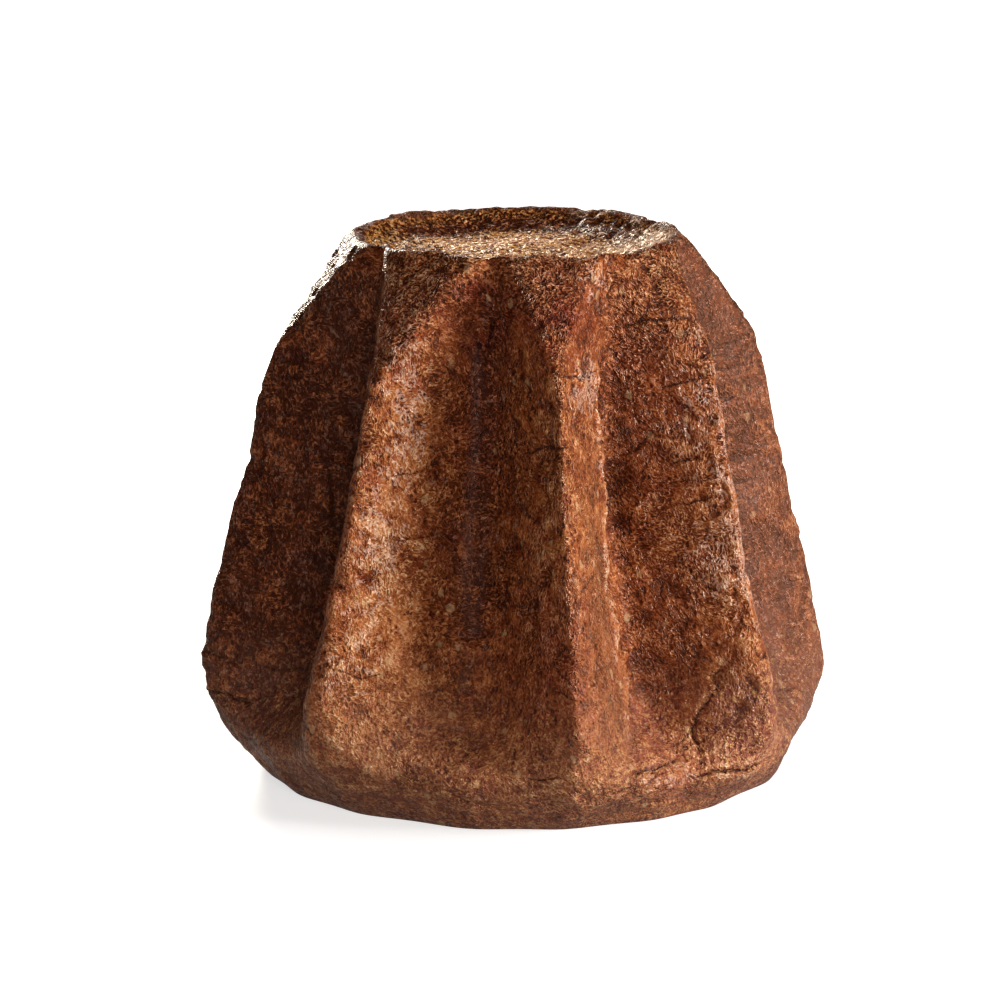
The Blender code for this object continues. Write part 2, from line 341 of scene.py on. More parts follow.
crease_points = []
large_spots = []
for number, (depth, width, lip, corners) in enumerate(ALL_CREASES):
    spots = []
    for (azimuth, level), (next_azimuth, next_level) in zip(corners, corners[1:]):
        first, _ = on_the_skin(azimuth, level)
        last, _ = on_the_skin(next_azimuth, next_level)
        pieces = max(2, int((last - first).length / MM / STEP))
        for piece in range(pieces):
            share = piece / pieces
            drift = JITTER * noise.noise(Vector((len(spots) * 0.35, number * 7.1, 0)))
            drift += DRIFT * noise.noise(Vector((len(spots) * 0.09, number * 3.3, 5)))
            spot, _ = on_the_skin(
                azimuth + share * (next_azimuth - azimuth) + drift / MM_PER_DEGREE,
                level + share * (next_level - level) + drift,
            )
            spots.append(spot)
    steps = len(spots)
    for step, spot in enumerate(spots):
        ahead = spots[min(step + 2, steps - 1)] - spots[max(step - 2, 0)]
        taper = min(1.0, TAPER * step / steps, TAPER * (steps - 1 - step) / steps)
        crease_points.append((spot, ahead.normalized(), depth, width, lip, taper))
    if number < len(LARGE_CREASES):
        large_spots += spots
crease_tree = kdtree.KDTree(len(crease_points))
for index, crease_point in enumerate(crease_points):
    crease_tree.insert(crease_point[0], index)
crease_tree.balance()
large_tree = kdtree.KDTree(len(large_spots))
for index, spot in enumerate(large_spots):
    large_tree.insert(spot, index)
large_tree.balance()
print("points along the creases:", len(crease_points))

# %% [markdown]
# ## Finer faces along the creases
#
# A crease is narrower than the skin's faces, so the faces beside it are cut in four. The
# rest stays as it is, which keeps the piece light. A long tear in the deep valley at the
# right is a step rather than a crease, and is described by its azimuth at each level.

# %% Cut the faces along the creases in four
FINE_WITHIN = 1.25 * MM
TEAR = (
    # level, azimuth
    (24, 24),
    (31, 25),
    (42, 27),
    (49, 29),
    (56, 26.5),
    (66, 27),
    (79, 24.8),
    (93, 25.8),
    (101, 27.6),
    (112, 29.4),
    (119, 28),
    (130, 26.5),
    (150, 27.5),
)
VALLEY_MM_PER_DEGREE = 1.25
tear_levels, tear_azimuths = zip(*TEAR)


def past_the_tear(azimuth, level):
    """Roughly how many mm a place lies to the right of the tear in the deep valley."""
    return (azimuth - np.interp(level, tear_levels, tear_azimuths)) * VALLEY_MM_PER_DEGREE


def wants_finer_faces(face):
    """Says yes close to a large crease and close to the tear."""
    spot = face.calc_center_median()
    level = spot.z / MM
    turn = math.degrees(math.atan2(spot.x, -spot.y))
    at_the_tear = 26 < level < 152 and -3.2 < past_the_tear(turn, level) < 1.8
    return at_the_tear or large_tree.find(spot)[2] < FINE_WITHIN


bpy.ops.object.mode_set(mode="EDIT")
refined = pick_faces(crust, wants_finer_faces)
bpy.ops.mesh.subdivide(number_cuts=1, smoothness=0)
bpy.ops.object.mode_set(mode="OBJECT")
print("faces cut in four:", refined, "faces now:", len(crust.data.polygons))

# %% [markdown]
# ## Measure every point of the skin
#
# The relief differs from place to place, so each point of the skin is measured: its
# azimuth, its level, its reach from the axis, and how proud it stands of the middle reach
# on its own shelf, 4 mm high, which tells the ridges from the valleys.

# %% Measure the skin's points
count = len(crust.data.vertices)
flat = np.empty(count * 3)
crust.data.vertices.foreach_get("co", flat)
place = flat.reshape(count, 3) / MM
crust.data.vertices.foreach_get("normal", flat)
facing = flat.reshape(count, 3).copy()
azimuth = np.degrees(np.arctan2(place[:, 0], -place[:, 1]))
level = place[:, 2]
reach = np.hypot(place[:, 0], place[:, 1])
RIM_REACH = 54.5


def ramp(value, start, end):
    """Goes from 0 to 1 between start and end, gently at both."""
    share = np.clip((value - start) / (end - start), 0.0, 1.0)
    return share * share * (3.0 - 2.0 * share)


SHELF_HEIGHT = 4
SHELVES = 61
shelf = np.clip((level / SHELF_HEIGHT).astype(int), 0, SHELVES - 1)
middle = np.bincount(shelf, reach, SHELVES) / np.maximum(np.bincount(shelf, minlength=SHELVES), 1)
wall = 1.0 - ramp(facing[:, 2], 0.55, 0.8) * ramp(level, 178, 184)
in_dish = (1.0 - ramp(reach, RIM_REACH - 3, RIM_REACH + 1)) * ramp(level, 170, 178)
proud = np.clip((reach - middle[shelf]) / 14.0, -1, 1) * (1 - in_dish)
near_rim = np.exp(-(((reach - RIM_REACH) / 4.5) ** 2)) * ramp(level, 180, 187)
foot_calm = ramp(level, 0.3, 6)
print("points:", count, "share in the dish:", round(float(in_dish.mean()), 3))

# %% [markdown]
# ## Lumps, wrinkles and chips
#
# Smooth noise read at each point gives lumps of a chosen size. Stretching the places
# before the noise is read gives wrinkles: squeezing them in height makes level ones. For
# slanting ones each flank is first turned to face the front, in steps of 30 degrees, and
# then leant over. Everything is in millimetres, so a lump of 0.5 is half a millimetre high.

# %% Push the lumps and wrinkles into the skin


def bumps(spots, size, seed):
    """Smooth noise from -1 to 1 whose lumps are about that size across, in mm."""
    shifted = spots / size + seed * 17.3
    return np.array([noise.noise(Vector(spot)) for spot in shifted])


def leaning(spots, degrees):
    """Places in which a grain that runs up a flank leans by so many degrees."""
    lean = math.radians(degrees)
    across = spots[:, 0] * math.cos(lean) + spots[:, 2] * math.sin(lean)
    along = spots[:, 2] * math.cos(lean) - spots[:, 0] * math.sin(lean)
    return np.column_stack((across, spots[:, 1], along))


GRAIN_STEP = 30.0
faces_to = np.degrees(np.arctan2(facing[:, 0], -facing[:, 1]))
strip = np.round(faces_to / GRAIN_STEP) * GRAIN_STEP
turn = np.radians(-strip)
laid_flat = np.column_stack(
    (
        place[:, 0] * np.cos(turn) - place[:, 1] * np.sin(turn),
        place[:, 0] * np.sin(turn) + place[:, 1] * np.cos(turn),
        place[:, 2],
    )
)

# %% Add up the relief
lumps = 0.42 * bumps(place, 14.0, 1) + 0.34 * bumps(place, 6.5, 2) + 0.2 * bumps(place, 3.4, 3)
level_grain = bumps(place * (0.22, 0.22, 1.0), 2.6, 4)
slant_grain = bumps(leaning(laid_flat, 45) * (1.0, 1.0, 0.26), 2.8, 5)
counter_grain = bumps(leaning(laid_flat, -35) * (1.0, 1.0, 0.26), 2.8, 6)
grain_mix = ramp(bumps(place, 21.0, 7), -0.25, 0.25)
grain = grain_mix * slant_grain + (1 - grain_mix) * counter_grain
wrinkles = 0.34 * grain + 0.26 * level_grain * ramp(bumps(place, 17.0, 8), -0.1, 0.4)
torn = bumps(place, 5.0, 9)
chips = -0.85 * ramp(torn, 0.18, 0.42) * ramp(proud, 0.15, 0.7)
flakes = 0.34 * ramp(bumps(place, 9.0, 10), 0.02, 0.12) - 0.17
sand = 1.0 * bumps(place, 2.7, 11) + 0.5 * bumps(place, 5.0, 12)
crumbs = 0.45 * bumps(place, 3.1, 13) + 0.8 * bumps(place, 6.5, 14) + 0.5 * bumps(place, 12.0, 23)
relief = (1 - in_dish) * (lumps + wrinkles + chips + flakes * wall)
print("lumps and wrinkles in mm:", round(float(relief.min()), 2), "to", round(float(relief.max()), 2))

# %% [markdown]
# ## The torn step in the deep valley
#
# The dough tore down most of the deep valley at the right. The crust drops by about 3 mm
# along a wavering line and rises again over the next 14 mm, and its torn edge stands up in
# places.

# %% The torn step in the deep valley
TEAR_DEPTH = 3.2
TEAR_WIDTH = 14
wander = 1.5 * bumps(place * (0, 0, 1), 7.0, 20) + 0.9 * bumps(place * (0, 0, 1), 2.4, 21)
past = past_the_tear(azimuth, level) + wander
tear_reaches = ramp(level, 26, 44) * (1 - ramp(level, 138, 158)) * (1 - in_dish)
rising_again = 1 - np.clip((past - 0.5) / TEAR_WIDTH, 0, 1)
tear_step = -TEAR_DEPTH * ramp(past, -0.9, 0.5) * rising_again * tear_reaches
tear_lip = np.exp(-(((past + 1.7) / 1.3) ** 2)) * tear_reaches * ramp(bumps(place, 3.0, 22), -0.3, 0.2)
relief += tear_step + 1.1 * tear_lip
relief += in_dish * sand + near_rim * crumbs
relief *= foot_calm
print("relief in mm, lowest and highest:", round(float(relief.min()), 2), round(float(relief.max()), 2))

# %% [markdown]
# ## Press the creases in
#
# Every point near a crease sinks by the crease's depth, deepest on its line, and the
# crust on one side of the line stands up a little, as a torn edge does.

# %% Press the creases in
SEARCH = 7.0
STAIN_REACH = 3.2
LIP_FADE = 2.6
crease_depth = np.zeros(count)
crease_lift = np.zeros(count)
crease_side = np.full(count, SEARCH)
crease_near = np.zeros(count)
for index in range(count):
    spot = Vector(place[index]) * MM
    _, found, distance = crease_tree.find(spot)
    distance /= MM
    if distance > SEARCH:
        continue
    line_spot, ahead, depth, width, lip, taper = crease_points[found]
    groove = max(0.0, 1.0 - distance / width)
    crease_depth[index] = depth * taper * groove**0.8
    side = ahead.cross(Vector(facing[index])).dot(spot - line_spot)
    crease_side[index] = math.copysign(distance, side)
    crease_near[index] = min(1.0, 0.45 + 0.45 * depth) * taper * max(0.0, 1.0 - distance / STAIN_REACH)
    if side > 0:
        crease_lift[index] = lip * taper * math.exp(-distance / LIP_FADE) * (1 - groove)
relief += (crease_lift - crease_depth) * foot_calm
print("points in the creases:", int((crease_depth > 0.1).sum()))

# %% [markdown]
# ## Round off the collar
#
# The solid's faces are some millimetres wide, and near the foot, where they turn under, they
# show as corners against the light. Averaging each point with its neighbours, again and
# again, rounds them. It also shrinks the cake a little, so the even part of the shift is
# taken off again. Only the lowest part moves: the ridges above have to stay sharp.

# %% Round off the collar


def smoothed(values, rounds):
    """Each point's value averaged with its neighbours', as many times as asked."""
    ends = np.empty(len(crust.data.edges) * 2, int)
    crust.data.edges.foreach_get("vertices", ends)
    one, other = ends[::2], ends[1::2]
    neighbours = np.bincount(one, minlength=count) + np.bincount(other, minlength=count)
    for _ in range(rounds):
        total = np.bincount(one, values[other], count) + np.bincount(other, values[one], count)
        values = 0.4 * values + 0.6 * total / np.maximum(neighbours, 1)
    return values


ROUNDING_ROUNDS = 36
EVENING_ROUNDS = 60
shift = np.column_stack([smoothed(place[:, side], ROUNDING_ROUNDS) for side in range(3)]) - place
shift -= np.column_stack([smoothed(shift[:, side], EVENING_ROUNDS) for side in range(3)])
rounding = (1 - ramp(level, 44, 72)) * ramp(level, 1.5, 9)
moved = shift * rounding[:, None]
print("rounding moves points by up to", round(float(np.abs(moved).max()), 2), "mm")

# %% Move the points and keep inside the measured box
ON_THE_FOOT = 0.05
shaped = place + moved + facing * relief[:, None]
shaped = np.clip(shaped, np.array(cad_low) / MM, np.array(cad_high) / MM)
shaped[level < ON_THE_FOOT, 2] = 0.0
crust.data.vertices.foreach_set("co", (shaped * MM).ravel())
crust.data.update()

# %% [markdown]
# ## Close the foot
#
# The cake stands on a flat face. Its edge is one loop of points, and one face fills it.

# %% Close the foot
select_only(crust)
bpy.ops.object.mode_set(mode="EDIT")
bpy.ops.mesh.select_mode(type="EDGE")
bpy.ops.mesh.select_all(action="DESELECT")
shape = bmesh.from_edit_mesh(crust.data)
for edge in shape.edges:
    if edge.is_boundary:
        edge.select_set(True)
bmesh.update_edit_mesh(crust.data)
bpy.ops.mesh.edge_face_add()
bpy.ops.mesh.select_all(action="SELECT")
bpy.ops.mesh.normals_make_consistent(inside=False)
bpy.ops.object.mode_set(mode="OBJECT")
bpy.ops.object.shade_smooth_by_angle(angle=math.radians(70))
crust.data.calc_loop_triangles()
print("triangles of the crust:", len(crust.data.loop_triangles))

# %% [markdown]
# ## Notes for the colours
#
# The colours are uneven. Small hollows are painted darker and bumps lighter, as painted
# shade, and ridges are lighter than valleys. Loose flakes are golden and some places plum red.
# Some notes are painted light and shade: a pale pink sheen where a glossy film catches the
# lamps, lighter and darker strips on the flanks, a dark band down one valley, the dish's shaded
# wall and its lit side, and darker sides where the lamps fall strongest. Each of these is
# written on the points as an attribute, a number from 0 to 1, which the material reads later.
# The broad patches are set by azimuth and level, like the creases.

# %% Write the notes on the points


def patch(middle_azimuth, middle_level, half_azimuth, half_level):
    """A soft spot of 1 on the skin, fading to 0 at its half sizes."""
    turned = (azimuth - middle_azimuth + 180) % 360 - 180
    off = np.hypot(turned / half_azimuth, (level - middle_level) / half_level)
    off = off + 0.35 * patch_wobble
    return np.clip(1.15 - off, 0, 1) ** 0.8 * (1 - in_dish)


def patches(spots):
    """Several patches added up. Each has a strength, a middle and half sizes."""
    return sum(strength * patch(*spot) for strength, *spot in spots)


def write_note(name, values):
    """Stores one number a point, for the material."""
    note = crust.data.attributes.new(name, "FLOAT", "POINT")
    note.data.foreach_set("value", np.clip(values, 0, 1).astype(np.float32))


patch_wobble = bumps(place, 11.0, 15) + 0.6 * bumps(place, 5.0, 16)
# Painted shade: darker in the small hollows of the relief and lighter on its bumps.
hollow_shade = 0.5 + 0.9 * (relief - smoothed(relief, 14)) + 0.16 * (relief - smoothed(relief, 90))
# strength, azimuth and level of the middle, half sizes in degrees and millimetres
# Painted sheen: pale pink patches where the glossy film catches the lamps.
SHEEN_PATCHES = (
    (0.75, -28.5, 146, 3.5, 20),
    (0.7, -28.5, 122, 3.2, 12),
    (0.75, -30.5, 96, 3.5, 24),
    (0.6, -32, 60, 3.2, 16),
    (0.85, 53, 125, 5, 45),
    (0.85, 50, 84, 5, 20),
    (1.0, 20, 146, 8, 10),
    (0.6, 26, 182, 8, 8),
    (0.4, 30, 17, 14, 6),
    (0.5, 140, 130, 7, 24),
    (0.5, 200, 90, 6, 22),
)
# Mostly the crust's plum red; the strip along the crest at -39 degrees is painted shade.
PLUM_AND_SHADE_PATCHES = (
    (1.0, 8, 172, 22, 18),
    (1.0, -12, 150, 10, 40),
    (0.5, -40, 172, 14, 16),
    (0.5, 40, 146, 8, 22),
    (0.5, 82, 40, 14, 30),
    (1.0, 12, 60, 16, 34),
    (1.0, 50, 30, 10, 16),
    (1.0, 62, 160, 12, 10),
    (0.9, -39, 100, 5, 62),
    (0.5, -26, 174, 14, 14),
    (0.4, 28, 22, 9, 12),
    (1.0, 160, 110, 16, 34),
    (1.0, 236, 60, 18, 30),
)
# Partly the bake's own golden tone, partly painted light on flanks that catch the lamps, as the strip at -28
# degrees.
GOLDEN_AND_LIT_PATCHES = (
    (0.7, 25, 100, 5, 50),
    (0.7, 27, 70, 5, 40),
    (0.6, 42, 95, 8, 16),
    (1.0, -28, 104, 6, 76),
    (0.45, -24, 50, 14, 34),
    (0.7, -5, 20, 60, 14),
    (0.5, 62, 20, 30, 14),
    (1.0, -38, 172, 11, 14),
    (0.25, 33, 179, 11, 11),
    (0.7, 50, 24, 16, 14),
    (1.0, 180, 150, 30, 20),
    (1.0, 130, 60, 18, 30),
)
# Painted shade: a dark band down the narrow valley just left of the front ridge.
valley_shade_band = np.exp(-(((azimuth + 11 - 0.012 * (level - 110)) / 3.2) ** 2)) * ramp(level, 40, 70)
valley_shade_band *= 1 - ramp(level, 172, 180)
# Painted shade on the dish's inner wall, strongest on the back wall, which faces away from the back lamp.
dish_wall_shade = in_dish * ramp(reach + 1.5 * patch_wobble, 35, 41) * (1 - 0.6 * near_rim)
dish_wall_shade *= 0.2 + 0.8 * ramp(np.abs(azimuth), 98, 128)
dusty = (1 - ramp(level, 22, 64)) * 0.75 + patch(50, 34, 9, 22) + patch(66, 40, 14, 26)
write_note("dusty", dusty * (1 - in_dish))
write_note("shoulder", ramp(facing[:, 2], 0.28, 0.5) * ramp(level, 90, 130) * (1 - in_dish))
write_note("low", 1 - ramp(level, 30, 85))
write_note("hollow_shade", hollow_shade)
write_note("valley_band_shade", valley_shade_band)
grey_strip = np.exp(-(((azimuth + 14.5 - 0.012 * (level - 110)) / 1.5) ** 2)) * ramp(level, 60, 90)
write_note("grey_strip", grey_strip * (1 - ramp(level, 150, 165)))
write_note("dish_wall_shade", dish_wall_shade)
write_note("crease_near", crease_near)
write_note("crease_side", 0.5 + crease_side / (2 * SEARCH))
write_note("dish", in_dish)
write_note("rim", near_rim)
# Painted sheen: the dish's right inner wall, which faces the back lamp, is made pale.
dish_side_sheen = in_dish * ramp(reach, 22, 42) * ramp(azimuth, 26, 62) * (1 - ramp(azimuth, 96, 132))
write_note("dish_side_sheen", dish_side_sheen)
write_note("tan", patch(19, 62, 9, 70) + 0.6 * patch(-26, 40, 16, 24))
write_note("ridge", 0.5 + 0.5 * proud)
write_note("sheen_film", patches(SHEEN_PATCHES) + 0.9 * tear_lip)
write_note("plum_and_shade", patches(PLUM_AND_SHADE_PATCHES))
write_note("golden_and_lit", patches(GOLDEN_AND_LIT_PATCHES))
write_note("collar", 1 - ramp(level, 26, 48))
write_note("slant_left", patch(44, 90, 13, 60) + patch(224, 90, 16, 60) + patch(130, 90, 16, 50))
# Painted shade: the right side and the back, which face the main and back lamps, are made darker and browner.
write_note("lamp_side_shade", np.maximum(ramp(azimuth, 60, 72), ramp(-azimuth, 108, 134)) * (1 - in_dish))
write_note("shade", ramp(-azimuth, 45, 75) * ramp(azimuth, -120, -95) * ramp(level, 5, 30))
print("notes:", [note.name for note in crust.data.attributes if note.data_type == "FLOAT"])

# %% [markdown]
# ## Which way each flank looks
#
# The fibres lie in the surface of their flank, so each face notes the azimuth of its strip
# as a share of a full turn. The note is on the faces, because a number on the points would
# be blended across the border between two strips.

# %% Note which way each face's flank looks
first_corners = np.empty(len(crust.data.polygons), int)
crust.data.polygons.foreach_get("loop_start", first_corners)
corner_points = np.empty(len(crust.data.loops), int)
crust.data.loops.foreach_get("vertex_index", corner_points)
strip_note = crust.data.attributes.new("strip", "FLOAT", "FACE")
strip_note.data.foreach_set("value", ((strip / 360) % 1.0)[corner_points[first_corners]].astype(np.float32))
print("strips of", GRAIN_STEP, "degrees:", len(np.unique(strip)))

# %% [markdown]
# ## The crust's material
#
# Baked dough is fibrous: thin pale threads lie over dark gaps, a few millimetres long and
# under one wide. They are too fine to model, so they are noise textures that have been
# stretched along the grain, read both for the colour and for the bump. They use Object
# coordinates, which stay put on the cake and need no unwrapping.

# %% Start the material
baked = bpy.data.materials.new("baked_crust")
baked.use_nodes = True
nodes = baked.node_tree.nodes
links = baked.node_tree.links
nodes.clear()


def put(kind, inputs=None, **settings):
    """Adds a node. Its inputs are numbers, colours or another node's socket."""
    made = nodes.new(kind)
    for name, value in settings.items():
        setattr(made, name, value)
    for name, value in (inputs or {}).items():
        if isinstance(value, bpy.types.NodeSocket):
            links.new(value, made.inputs[name])
        else:
            made.inputs[name].default_value = value
    return made


def calc(operation, one, other=0.0, third=0.0, clamp=False):
    """One step of arithmetic."""
    made = put("ShaderNodeMath", {0: one, 1: other, 2: third}, operation=operation, use_clamp=clamp)
    return made.outputs[0]


def spread(value, low, high, floor=0.0, top=1.0):
    """Stretches low..high to floor..top, smoothly and with clamped ends."""
    made = put(
        "ShaderNodeMapRange",
        {"Value": value, "From Min": low, "From Max": high, "To Min": floor, "To Max": top},
        interpolation_type="SMOOTHSTEP",
    )
    return made.outputs["Result"]


def note_of(name):
    """Reads one of the notes written on the points."""
    return put("ShaderNodeAttribute", attribute_name=name).outputs["Fac"]


def stretch(where, across, height):
    """Places in units of one fibre: that many mm across and that many in height."""
    scale = (1 / (across * MM), 1 / (across * MM), 1 / (height * MM))
    made = put("ShaderNodeVectorMath", {0: where, 1: scale}, operation="MULTIPLY")
    return made.outputs["Vector"]


def fuzz(where, detail=2.0, roughness=0.55, distortion=0.0):
    """Noise from 0 to 1."""
    made = put(
        "ShaderNodeTexNoise",
        {
            "Vector": where,
            "Scale": 1.0,
            "Detail": detail,
            "Roughness": roughness,
            "Distortion": distortion,
        },
    )
    return made.outputs["Fac"]


def valleys(where, detail=1.0, roughness=0.5, distortion=0.5):
    """0 along winding crest lines, growing to about 0.25 in the pits between them."""
    return calc("ABSOLUTE", calc("SUBTRACT", fuzz(where, detail, roughness, distortion), 0.5))


def mixed(share, one, other):
    """Goes from one number to the other."""
    return put("ShaderNodeMix", {0: share, 2: one, 3: other}).outputs[0]


# %% [markdown]
# ## Fibres that follow the flanks
#
# Each flank is turned to face the front by the note of its strip, so that "across" and
# "up" lie in its own surface. Leaning these places makes slanting fibres, and plain ones
# run up or level. A noise that is folded at its middle value has sharp, winding crests,
# which are the pale threads, with dark pits between them.

# %% Places for the fibres: straight, slanting both ways, and level
places = put("ShaderNodeTexCoord").outputs["Object"]
drift_noise = put("ShaderNodeTexNoise", {"Vector": places, "Scale": 75.0, "Detail": 1.0}).outputs["Color"]
drift = put("ShaderNodeVectorMath", {0: drift_noise, 1: (0.5, 0.5, 0.5)}, operation="SUBTRACT")
drift = put("ShaderNodeVectorMath", {0: drift.outputs["Vector"], "Scale": 2.5 * MM}, operation="SCALE")
wavy = put("ShaderNodeVectorMath", {0: places, 1: drift.outputs["Vector"]}, operation="ADD").outputs["Vector"]
strip_angle = calc("MULTIPLY", note_of("strip"), -2 * math.pi)
to_the_front = {"Vector": wavy, "Angle": strip_angle}
flank = put("ShaderNodeVectorRotate", to_the_front, rotation_type="Z_AXIS").outputs["Vector"]


def leant(degrees):
    """The flank's places, leant over by so many degrees."""
    lean = {"Vector": flank, "Angle": math.radians(degrees)}
    return put("ShaderNodeVectorRotate", lean, rotation_type="Y_AXIS").outputs["Vector"]


# %% Fibres
region = fuzz(stretch(places, 17.0, 17.0), 1.0)
which = calc("SUBTRACT", spread(region, 0.46, 0.54), spread(note_of("slant_left"), 0.1, 0.3), clamp=True)
ridge = note_of("ridge")
shade = note_of("shade")
upright = calc("MAXIMUM", spread(ridge, 0.68, 0.8), spread(shade, 0.3, 0.6, 0.0, 0.85))
level_share = spread(fuzz(stretch(places, 11.0, 11.0), 1.0), 0.52, 0.6)
dish = note_of("dish")
collar = note_of("collar")
low_down = note_of("low")
sandy_below = calc("MAXIMUM", calc("MULTIPLY", collar, 0.65), calc("MULTIPLY", low_down, 0.45))
sandy_share = calc("MAXIMUM", dish, sandy_below)
pits = mixed(which, valleys(stretch(leant(45), 1.15, 2.05)), valleys(stretch(leant(-35), 1.15, 1.9)))
pits = mixed(upright, pits, valleys(stretch(flank, 1.1, 2.2)))
pits = mixed(level_share, pits, valleys(stretch(flank, 2.3, 1.1)))
sandy = valleys(stretch(places, 1.9, 1.9))
pits = mixed(sandy_share, pits, sandy)
breaks = fuzz(stretch(wavy, 3.4, 4.2), 2.0, 0.65)
thread_width = spread(breaks, 0.36, 0.64, 0.06, 0.13)
grain_of = spread(calc("DIVIDE", pits, thread_width), 0.0, 1.0, 1.0, 0.0)
grain_of = mixed(dish, grain_of, spread(fuzz(stretch(places, 1.5, 1.5), 2.0, 0.65), 0.4, 0.62))

# %% [markdown]
# ## The glossy film and its painted sheen
#
# In some places a smoother skin lies between the pits. It is shinier than the rest, and its
# pale pink colour is a painted sheen where it catches the lamps. Its patches have ragged outlines.

# %% The glossy film and its painted sheen
sheen_spots = note_of("sheen_film")
film_and_sheen = calc("MULTIPLY_ADD", sheen_spots, 0.24, fuzz(stretch(leant(45), 3.0, 4.6), 3.0, 0.6, 0.4))
film_and_sheen = calc("MULTIPLY", spread(film_and_sheen, 0.6, 0.65), spread(sheen_spots, 0.0, 0.2, 0.3, 1.0))
film_and_sheen = calc("MULTIPLY", film_and_sheen, spread(pits, 0.07, 0.12, 1.0, 0.0))
film_and_sheen = calc("MULTIPLY", film_and_sheen, calc("SUBTRACT", 1.0, dish))
fine = fuzz(stretch(leant(45), 0.75, 1.25), 2.0, 0.6)

# %% [markdown]
# ## Rough and smooth places
#
# The threads stand out in some places and are baked flat in others, and the dusty collar
# is the smoothest of all. The shoulders are rougher, because they stuck to the tin.

# %% Rough and smooth places
dusty = note_of("dusty")
rough = spread(fuzz(stretch(places, 17.0, 22.0), 1.0), 0.38, 0.62, 0.62, 1.12)
rough = calc("MULTIPLY", rough, calc("MULTIPLY_ADD", dusty, -0.2, 1.0))
rough = calc("MULTIPLY_ADD", note_of("shoulder"), 0.75, rough)

# %% [markdown]
# ## Pores
#
# Where steam escaped the crust has small pores. Voronoi cells give them: close to a cell's
# middle there is a pit, which the bump sinks and the colour darkens as painted shade, and a
# broad noise decides where the pits crowd.

# %% Pores
pore_cells = put(
    "ShaderNodeTexVoronoi",
    {"Vector": stretch(wavy, 2.1, 2.8), "Scale": 1.0, "Randomness": 1.0},
    feature="F1",
).outputs["Distance"]
crowd = spread(fuzz(stretch(places, 9.0, 13.0), 1.0), 0.44, 0.62)
crowd = calc("MAXIMUM", crowd, calc("MULTIPLY", shade, 0.8))
pores = calc("MULTIPLY", spread(pore_cells, 0.18, 0.42, 1.0, 0.0), crowd)

# %% [markdown]
# ## Loose golden flakes
#
# Here and there a flake of the skin has stayed golden. Larger Voronoi cells place them, and
# each cell's own random colour decides whether it has one.

# %% Loose golden flakes
flake_cells = put(
    "ShaderNodeTexVoronoi",
    {"Vector": stretch(wavy, 7.5, 9.5), "Scale": 1.0, "Randomness": 1.0},
    feature="F1",
)
flake_edge = calc("MULTIPLY_ADD", calc("SUBTRACT", breaks, 0.5), 0.5, flake_cells.outputs["Distance"])
flake_shape = spread(flake_edge, 0.1, 0.2, 1.0, 0.0)
golden_flakes = calc("MULTIPLY", flake_shape, spread(flake_cells.outputs["Color"], 0.46, 0.54))
golden_flakes = calc("MULTIPLY", golden_flakes, calc("SUBTRACT", 1.0, calc("MAXIMUM", dish, shade)))

# %% [markdown]
# ## The creases' crisp lines
#
# The groove in the mesh is as wide as its faces. The note of each point's distance to the
# nearest crease is much finer than that: it is positive on one side and negative on the
# other, so it passes through zero exactly on the line, and a thin ragged line can be drawn
# there. The line is painted dark, as shade in a crack too narrow for the mesh. The torn edge
# on the raised side stays pale.

# %% Crease lines and torn edges
side_mm = calc("MULTIPLY", calc("SUBTRACT", note_of("crease_side"), 0.5), 2 * SEARCH)
ragged = calc("MULTIPLY", calc("SUBTRACT", fuzz(stretch(places, 1.1, 1.1), 2.0, 0.7), 0.5), 1.7)
off_line = calc("ABSOLUTE", calc("ADD", side_mm, ragged))
near_crease = note_of("crease_near")
line_width = calc("MULTIPLY_ADD", near_crease, 0.55, 0.1)
crease_line = spread(calc("DIVIDE", off_line, line_width), 0.35, 1.0, 1.0, 0.0)
crease_line = calc("MULTIPLY", crease_line, spread(near_crease, 0.12, 0.4))
unbroken = calc("MAXIMUM", spread(breaks, 0.38, 0.56, 0.25, 1.0), spread(near_crease, 0.7, 0.9))
crease_line = calc("MULTIPLY", crease_line, unbroken)
torn_edge = calc("MULTIPLY", spread(side_mm, 0.3, 0.9), spread(side_mm, 1.3, 2.4, 1.0, 0.0))
torn_edge = calc("MULTIPLY", torn_edge, spread(near_crease, 0.3, 0.6))
torn_edge = calc("MULTIPLY", torn_edge, spread(fuzz(stretch(places, 1.6, 1.6), 2.0), 0.42, 0.6))

# %% [markdown]
# ## How brown each place is
#
# One number says how far a place is from dark chocolate to gold. Threads and ridges push it
# up, and gaps push it down. Pores, crease lines, small hollows, a valley band, the dish's back
# wall and the sides nearest the lamps are pushed down as painted shade, some flanks are pushed
# up as painted light, and broad noise makes the bake uneven.

# %% How brown each place is
broad = fuzz(stretch(places, 26.0, 34.0), 2.0)
blotch = fuzz(stretch(wavy, 6.5, 8.0), 2.0)
hollow_shade = note_of("hollow_shade")
grain_strength = calc("MULTIPLY", rough, calc("MULTIPLY_ADD", dish, 0.8, 0.4))
bake = calc("MULTIPLY_ADD", calc("SUBTRACT", grain_of, 0.45), grain_strength, 0.42)
bake = calc("MULTIPLY_ADD", calc("SUBTRACT", breaks, 0.5), 0.15, bake)
bake = calc("MULTIPLY_ADD", calc("SUBTRACT", fine, 0.5), 0.85, bake)
bake = calc("MULTIPLY_ADD", calc("SUBTRACT", broad, 0.5), 0.3, bake)
bake = calc("MULTIPLY_ADD", calc("SUBTRACT", blotch, 0.5), 0.4, bake)
# Painted shade: the small hollows darken and the bumps lighten.
bake = calc("MULTIPLY_ADD", calc("SUBTRACT", hollow_shade, 0.5), 0.4, bake)
